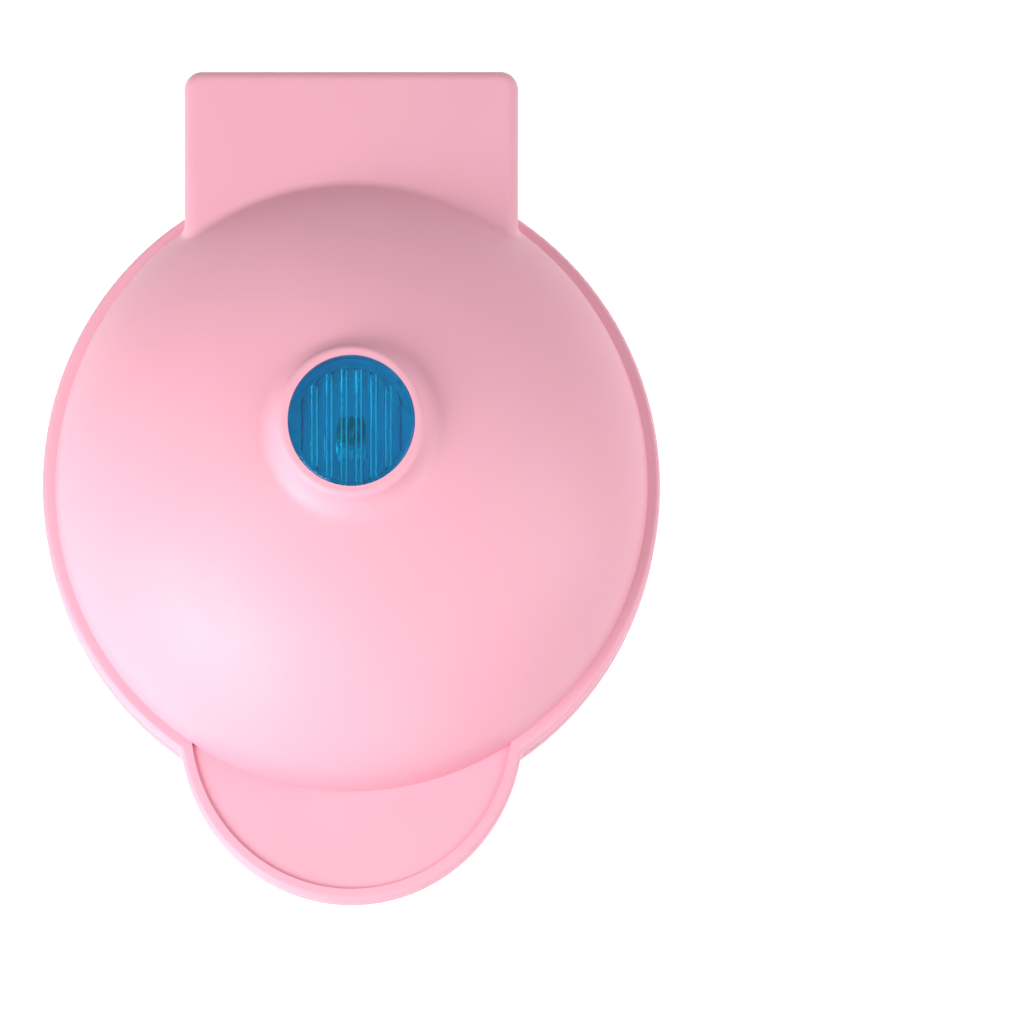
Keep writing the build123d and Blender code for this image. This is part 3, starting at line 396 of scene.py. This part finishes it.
screw_sink = 1.7 * MM
edge_band = 0.4 * MM               # rings this close to an edge of the casting keep it crisp
hub_share = 0.3                    # the last ring of the underside, as a share of the radius
plate_posts = 19.5 * MM            # posts for the heat shield, from the plate's middle
post_turns = (30, 150, 270)        # degrees
post_radius = 4.0 * MM
post_root = 1.0 * MM               # the posts start this deep inside the body


def heart_outline(steps=420):
    """Points of the heart: a circle's arc for each lobe and an arc from it to the tip, whose
    circle has its centre on the lobe's last radius, as far from the tip as from the lobe's end."""
    turn = np.linspace(lobe_start, lobe_end, steps)
    centre = np.array(lobe_place)
    lobe = centre + lobe_radius * np.stack([np.cos(turn), np.sin(turn)], 1)
    tip = np.array([0.0, heart_tip])
    inward = (centre - lobe[-1]) / lobe_radius
    side_radius = ((tip - lobe[-1]) ** 2).sum() / (2 * inward @ (tip - lobe[-1]))
    side_centre = lobe[-1] + inward * side_radius
    first, last = (math.atan2(*(point - side_centre)[::-1]) for point in (lobe[-1], tip))
    turn = np.linspace(first, last, steps // 2)
    side = side_centre + abs(side_radius) * np.stack([np.cos(turn), np.sin(turn)], 1)
    half = np.concatenate([lobe, side])
    return np.concatenate([half, half[::-1] * [-1, 1]])


def heart_inset(x, y, batches=40):
    """Distance inside the heart's outline at each point, below zero outside. A point is inside
    if it is nearer to the heart's middle than the outline is in its direction."""
    outline = heart_outline()
    flat = np.stack([x.ravel(), y.ravel()], 1).astype(np.float32)
    parts = [np.sqrt(((part[:, None] - outline[None].astype(np.float32)) ** 2).sum(2).min(1))
             for part in np.array_split(flat, batches)]
    far = np.concatenate(parts).reshape(x.shape)
    middle = np.array([0.0, stud_row])
    ray = outline - middle
    angle = np.arctan2(ray[:, 0], ray[:, 1])
    order = np.argsort(angle)
    reach = np.interp(np.arctan2(x, y - middle[1]), angle[order], np.hypot(*ray.T)[order])
    return np.where(np.hypot(x, y - middle[1]) < reach, far, -far)


def soft_ramp(inset, run):
    """0 before an edge and 1 past the foot of its slope, with both bends rounded: the
    difference of two rounded corners, each (t + sqrt(t^2 + s^2)) / 2."""
    t = inset / run
    s = edge_soft / run
    rounded = (t + np.sqrt(t ** 2 + s ** 2)) / 2
    return rounded - (t - 1 + np.sqrt((t - 1) ** 2 + s ** 2)) / 2


def plate_height(x, y):
    """Height over the plate's face: down by the heart's depth inside its wall, up again in each
    stud, a square with round corners cut by the channel's edge, and down round each screw.
    A stud's volume over its height is its mean section: the sum of its grid cells' areas,
    |dx/du dy/dv - dx/dv dy/du|, each times its share of the height."""
    inset = heart_inset(x, y)
    height = -heart_depth * soft_ramp(inset, wall_run)
    x_down, x_across = np.gradient(x)
    y_down, y_across = np.gradient(y)
    cell = np.abs(x_across * y_down - x_down * y_across)
    column = np.round(x / stud_pitch - 0.5) + 0.5
    row = np.round((y - stud_row) / stud_pitch)
    across = np.abs(x - column * stud_pitch) - (stud_half - stud_corner)
    along = np.abs(y - stud_row - row * stud_pitch) - (stud_half - stud_corner)
    outside = np.hypot(np.maximum(across, 0), np.maximum(along, 0))
    square = stud_corner - outside - np.minimum(np.maximum(across, along), 0)
    stud = np.minimum(square, inset - stud_border)
    section = cell * soft_ramp(stud, stud_run)
    for own_column, own_row in set(zip(column[stud > 0], row[stud > 0])):
        own = (column == own_column) & (row == own_row)
        if section[own].sum() < stud_least:
            stud[own] = -stud_half
    height += stud_rise * soft_ramp(stud, stud_run)
    for place in screw_places:
        away = np.hypot(x - place[0], y - place[1])
        height -= screw_sink * soft_ramp(screw_rim - away, screw_sink)
    return height


def screw_centre(part):
    """Middle of one screw, seen from above, from the plate's middle."""
    return ((part[:, 0].min() + part[:, 0].max()) / 2,
            (part[:, 1].min() + part[:, 1].max()) / 2 - plate_middle)


def points_of(node):
    """Corners of a node's mesh as an array."""
    mesh = nodes[node].data
    points = np.zeros(len(mesh.vertices) * 3, np.float32)
    mesh.vertices.foreach_get("co", points)
    return points.reshape(-1, 3)


screws = points_of("lower_plate_screws")
behind = screws[:, 1] > plate_middle
screw_places = [screw_centre(screws[behind]),
                screw_centre(screws[~behind & (screws[:, 0] < 0)]),
                screw_centre(screws[~behind & (screws[:, 0] > 0)])]


def grid_faces(rows, columns):
    """Quads of a grid of points, listed row by row."""
    first = (np.arange(rows - 1)[:, None] * columns + np.arange(columns - 1)).ravel()
    return np.stack([first, first + 1, first + columns + 1, first + columns], 1)


def heart_plate(side_steps=277):
    """Points and faces of a plate with its face up. The face is a square grid spread over the
    disc, (u, v) to (u sqrt(1 - v^2/2), v sqrt(1 - u^2/2)); rings and a centre close it below."""
    line = np.linspace(-1, 1, side_steps)
    u, v = np.meshgrid(line, line)
    x = plate_radius * u * np.sqrt(1 - v ** 2 / 2)
    y = plate_radius * v * np.sqrt(1 - u ** 2 / 2)
    face = np.stack([x, y, plate_height(x, y)], 2).reshape(-1, 3)
    index = np.arange(side_steps ** 2).reshape(side_steps, side_steps)
    loop = np.concatenate([index[0, :-1], index[:-1, -1], index[-1, :0:-1], index[:0:-1, 0]])
    edge = face[loop, :2]
    body_share = 1 - plate_step / plate_radius
    band_share = edge_band / plate_radius
    rings = [(1.0, -edge_band), (1.0, -plate_rim + edge_band), (1.0, -plate_rim),
             (1 - band_share, -plate_rim), (body_share + band_share, -plate_rim),
             (body_share, -plate_rim), (body_share, -plate_rim - edge_band),
             (body_share, -plate_body + edge_band), (body_share, -plate_body),
             (body_share - band_share, -plate_body), (hub_share, -plate_body)]
    points = [face] + [np.column_stack([edge * share, np.full(len(edge), z)]) for share, z in rings]
    points.append(np.array([[0.0, 0.0, -plate_body]]))
    faces = [tuple(quad) for quad in grid_faces(side_steps, side_steps)]
    count = len(loop)
    starts = [len(face) + count * number for number in range(len(rings))]
    before = loop
    for start in starts:
        after = start + np.arange(count)
        faces += [tuple(quad) for quad in
                  np.stack([before, after, np.roll(after, -1), np.roll(before, -1)], 1)]
        before = after
    last = starts[-1] + count
    faces += [(int(a), last, int(b)) for a, b in zip(before, np.roll(before, -1))]
    return np.concatenate(points), faces


def post(place, high, low, radius, sides=40):
    """Points and faces of an upright round post with a closed top and bottom."""
    turn = np.linspace(0, 2 * math.pi, sides, endpoint=False)
    ring = np.stack([place[0] + radius * np.cos(turn), place[1] + radius * np.sin(turn)], 1)
    points = np.concatenate([np.column_stack([ring, np.full(sides, z)]) for z in (high, low)])
    upper = np.arange(sides)
    quads = np.stack([upper, upper + sides, np.roll(upper, -1) + sides, np.roll(upper, -1)], 1)
    return points, [tuple(quad) for quad in quads] + [tuple(upper), tuple(upper[::-1] + sides)]


def joined(shapes):
    """Points and faces of several closed shapes as one."""
    points, faces, start = [], [], 0
    for own_points, own_faces in shapes:
        points.append(own_points)
        faces += [tuple(int(corner) + start for corner in face) for face in own_faces]
        start += len(own_points)
    return np.concatenate(points), faces


def new_piece(name, points, faces, material, body, replaced):
    """Smooth mesh object from points and faces, on its body, in place of a solid."""
    mesh = bpy.data.meshes.new(name)
    mesh.from_pydata(points.tolist(), [], faces)
    mesh.shade_smooth()
    mesh.materials.append(material)
    piece = bpy.data.objects.new(name, mesh)
    bpy.context.scene.collection.objects.link(piece)
    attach(piece, body)
    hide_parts(replaced)


def plate_coating():
    """Dark non-stick coating: fine pale flecks, a sprayed grain and a soft gloss."""
    material, tree, surface, _ = shader("plate_coating")
    fleck_colour = (0.11, 0.105, 0.10)
    tone = mottled(tree, 12 * MM, (0.026, 0.025, 0.027), (0.038, 0.036, 0.038))
    fleck = placed(tree, specks, "Mask", Cell=1.1 * MM, Width=0.12, Share=0.5)
    tree.links.new(mixed(tree, fleck, tone, fleck_colour), surface.inputs["Base Color"])
    roughened(tree, surface, 2 * MM, 0.34, 0.46)
    grained(tree, surface, 0.5 * MM, 0.02 * MM, 0.6)
    return material


coating = plate_coating()
posts = [post((plate_posts * math.cos(turn), plate_posts * math.sin(turn)),
              -plate_body + post_root, plate_low.z - plate_face, post_radius)
         for turn in np.radians(post_turns)]
plate_points, plate_faces = joined([heart_plate()] + posts)
lower_points = plate_points + [0, plate_middle, plate_face]
upper_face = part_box("upper_plate")[0].z
upper_points = plate_points * [1, 1, -1] + [0, plate_middle, upper_face]
new_piece("lower_heart_plate", lower_points, plate_faces, coating, "base",
          "lower_plate")
new_piece("upper_heart_plate", upper_points, [face[::-1] for face in plate_faces], coating, "lid",
          "upper_plate")


# Lamp under the lens: a small neon lamp on its leads, with its series resistor, in a white
# heat-resisting cup that two screws hold to posts in the lid.
def finish(material, *names):
    """Give carried-over nodes their finish."""
    for name in names:
        for held in nodes[name].material_slots:
            held.material = material


def moulded(name, dark, pale, rough, grain_size=0.4 * MM, depth=0.01 * MM, gloss=0.4):
    """Moulded plastic, rubber or ceramic: mottle between two tones, a satin range of
    roughness and a fine grain."""
    rough_span = 0.1
    material, tree, surface, _ = shader(name)
    tree.links.new(mottled(tree, 5 * MM, dark, pale), surface.inputs["Base Color"])
    roughened(tree, surface, 2 * MM, rough, rough + rough_span)
    surface.inputs["Specular IOR Level"].default_value = gloss
    grained(tree, surface, grain_size, depth, 0.6)
    return material


def metal(name, dark, pale, rough, patch=4 * MM):
    """Bare or plated metal: patches between two tones and two roughnesses, with fine dust."""
    rough_span = 0.12
    dust_shade = 0.6
    material, tree, surface, _ = shader(name)
    tone = mottled(tree, patch, dark, pale)
    dust = placed(tree, specks, "Mask", Cell=1.5 * MM, Width=0.07, Share=0.3)
    dust_colour = tuple(dust_shade * part for part in dark)
    tree.links.new(mixed(tree, dust, tone, dust_colour), surface.inputs["Base Color"])
    surface.inputs["Metallic"].default_value = 1.0
    roughened(tree, surface, patch / 4, rough, rough + rough_span)
    grained(tree, surface, 0.3 * MM, 0.003 * MM, 0.5)
    return material


def lamp_bulb():
    """Clear amber glass with a smoky mottle; the lamp is off and gives no light."""
    material, tree, surface, _ = shader("lamp_bulb")
    amber = mottled(tree, 2 * MM, (0.80, 0.62, 0.38), (0.92, 0.80, 0.60))
    tree.links.new(amber, surface.inputs["Base Color"])
    roughened(tree, surface, 1 * MM, 0.03, 0.08)
    surface.inputs["Transmission Weight"].default_value = 1.0
    surface.inputs["IOR"].default_value = 1.47
    return material


def banded_resistor():
    """Tan lacquer with four painted rings along the body."""
    ring_half = 0.3 * MM
    low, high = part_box("lamp_resistor")
    material, tree, surface, _ = shader("banded_resistor")
    place = tree.nodes.new("ShaderNodeTexCoord")
    split = tree.nodes.new("ShaderNodeSeparateXYZ")
    tree.links.new(place.outputs["Object"], split.inputs["Vector"])
    colour = mottled(tree, 1 * MM, (0.50, 0.36, 0.20), (0.58, 0.43, 0.26))
    rings = ((0.22, (0.20, 0.06, 0.02)), (0.40, (0.02, 0.02, 0.02)), (0.58, (0.72, 0.50, 0.03)),
             (0.80, (0.50, 0.36, 0.12)))
    for share, paint in rings:
        middle = low.y + share * (high.y - low.y)
        away = reckoned(tree, "ABSOLUTE", reckoned(tree, "SUBTRACT", split.outputs["Y"], middle))
        colour = mixed(tree, reckoned(tree, "LESS_THAN", away, ring_half), colour, paint)
    tree.links.new(colour, surface.inputs["Base Color"])
    roughened(tree, surface, 1 * MM, 0.30, 0.42)
    return material


tinned_wire = metal("tinned_wire", (0.62, 0.62, 0.60), (0.74, 0.74, 0.72), 0.22, patch=2 * MM)
finish(moulded("cup_plastic", (0.74, 0.72, 0.66), (0.80, 0.78, 0.72), 0.45), "lamp_cup")
finish(lamp_bulb(), "neon_lamp")
finish(tinned_wire, "lamp_leads")
finish(banded_resistor(), "lamp_resistor")


# Fasteners: zinc-plated steel screws, blades, pins and clips, a little blotched where the
# plating was passivated.
zinc = metal("zinc_plate", (0.50, 0.51, 0.50), (0.66, 0.66, 0.63), 0.26)
finish(zinc, "lamp_cup_screws", "upper_plate_screws", "lower_plate_screws", "upper_shield_screws",
       "lower_shield_screws", "thermostat_strap_screws", "hinge_cover_screws", "cord_clamp_screws",
       "fuse_clip_screw", "thermostat_blades", "thermostat_strap", "fuse_clip",
       "upper_element_pins", "lower_element_pins")


# Hinge pins: two ground steel pins, tight in the lid's cheeks and turning in the base's
# knuckles, brighter than the plated screws.
ground_steel = metal("ground_steel", (0.60, 0.60, 0.61), (0.70, 0.70, 0.71), 0.16, patch=1.5 * MM)
finish(ground_steel, "hinge_pins")


# Heating elements: tubular horseshoes of annealed steel, darkened and tinted by heat,
# clamped to the backs of the plates, with a ceramic bead at each end.
finish(metal("annealed_tube", (0.13, 0.11, 0.10), (0.26, 0.22, 0.18), 0.38, patch=8 * MM),
       "upper_element", "lower_element")
ceramic = moulded("ceramic", (0.74, 0.72, 0.67), (0.82, 0.80, 0.76), 0.32, gloss=0.5)
finish(ceramic, "upper_element_beads", "lower_element_beads")


# Heat shields: pressed galvanised sheet with the flakes of its zinc. Three screws hold each
# one to the posts on the back of its plate.
def galvanised():
    """Zinc with flakes: each cell of a pattern has its own brightness and roughness."""
    flake_size = 5 * MM
    material, tree, surface, _ = shader("galvanised")
    place = tree.nodes.new("ShaderNodeTexCoord")
    flakes = tree.nodes.new("ShaderNodeTexVoronoi")
    flakes.inputs["Scale"].default_value = 1 / flake_size
    tree.links.new(place.outputs["Object"], flakes.inputs["Vector"])
    split = tree.nodes.new("ShaderNodeSeparateColor")
    tree.links.new(flakes.outputs["Color"], split.inputs["Color"])
    zinc_colour = mixed(tree, split.outputs["Red"], (0.46, 0.47, 0.48), (0.64, 0.65, 0.66))
    tree.links.new(zinc_colour, surface.inputs["Base Color"])
    surface.inputs["Metallic"].default_value = 1.0
    rough = spread(tree, split.outputs["Green"], 0.28, 0.42, 0.0, 1.0)
    tree.links.new(rough, surface.inputs["Roughness"])
    return material


finish(galvanised(), "upper_heat_shield", "lower_heat_shield")


# Thermostat: a brown moulded disc switch in the lid, behind the upper plate. The strap that
# holds it and its blades are among the plated pieces above.
finish(moulded("brown_switch", (0.065, 0.028, 0.016), (0.095, 0.042, 0.024), 0.30), "thermostat")


# Wires: white silicone sheaths, in the lid and in the base. The terminal block in the base
# is ceramic, like the beads.
finish(moulded("silicone_sheath", (0.68, 0.66, 0.60), (0.76, 0.74, 0.69), 0.48, depth=0.02 * MM),
       "lid_wires", "base_wires")
finish(ceramic, "terminal_block")


# Sleeves: braided glass fibre round the wires where they cross the hinge, and round the
# thermal fuse. Two sets of slanting strands cross over each other.
def braid_effect():
    """Strands slanting both ways: height 1 on top of a strand, and 0 between strands."""
    tree, given, made = effect_group("braid", {"Pitch": 1.1 * MM}, ("Height",))
    place = tree.nodes.new("ShaderNodeTexCoord")
    split = tree.nodes.new("ShaderNodeSeparateXYZ")
    tree.links.new(place.outputs["Object"], split.inputs["Vector"])
    along = reckoned(tree, "ADD", split.outputs["X"], split.outputs["Y"])
    around = reckoned(tree, "ADD", split.outputs["Z"], split.outputs["Y"])
    turns = reckoned(tree, "DIVIDE", 2 * math.pi, given.outputs["Pitch"])
    waves = []
    for slant in ("ADD", "SUBTRACT"):
        phase = reckoned(tree, "MULTIPLY", reckoned(tree, slant, along, around), turns)
        waves.append(reckoned(tree, "ABSOLUTE", reckoned(tree, "SINE", phase)))
    tree.links.new(reckoned(tree, "MULTIPLY", *waves), made.inputs["Height"])
    return tree


def braided_sleeve():
    """Off-white fibre braid with painted shade in the gaps between strands, and a hairy dull surface.
    """
    material, tree, surface, _ = shader("braided_sleeve")
    height = placed(tree, braid_effect(), "Height")
    # painted shade: the colour darkens from the strands' tops down into the gaps between them
    painted_gap_shade = spread(tree, height, 0.0, 1.0, 0.05, 0.45)
    fibre = mixed(tree, painted_gap_shade, (0.52, 0.48, 0.40), (0.80, 0.77, 0.69))
    tree.links.new(fibre, surface.inputs["Base Color"])
    roughened(tree, surface, 1 * MM, 0.75, 0.9)
    bumped(tree, surface, height, 0.12 * MM, 0.8)
    return material


braid = braided_sleeve()
finish(braid, "thermal_fuse")
smooth_copy("lid_wire_sleeve", "lid_sleeve", braid)
smooth_copy("base_wire_sleeve", "base_sleeve", braid)


# Cord bush and clamp: black moulded nylon. The bush is pressed into the tower's rear wall,
# and the clamp holds the cord inside it.
nylon = moulded("black_nylon", (0.014, 0.014, 0.015), (0.020, 0.020, 0.021), 0.38)
smooth_copy("cord_bush", "bush", nylon)
finish(nylon, "cord_clamp")


# Feet: four soft black rubber pads, pressed into cups under the bowl and the tower. The
# whole object rests on them.
rubber = moulded("black_rubber", (0.020, 0.020, 0.021), (0.032, 0.031, 0.031), 0.72,
                 grain_size=0.25 * MM, depth=0.03 * MM, gloss=0.25)
smooth_copy("rubber_feet", "feet", rubber)
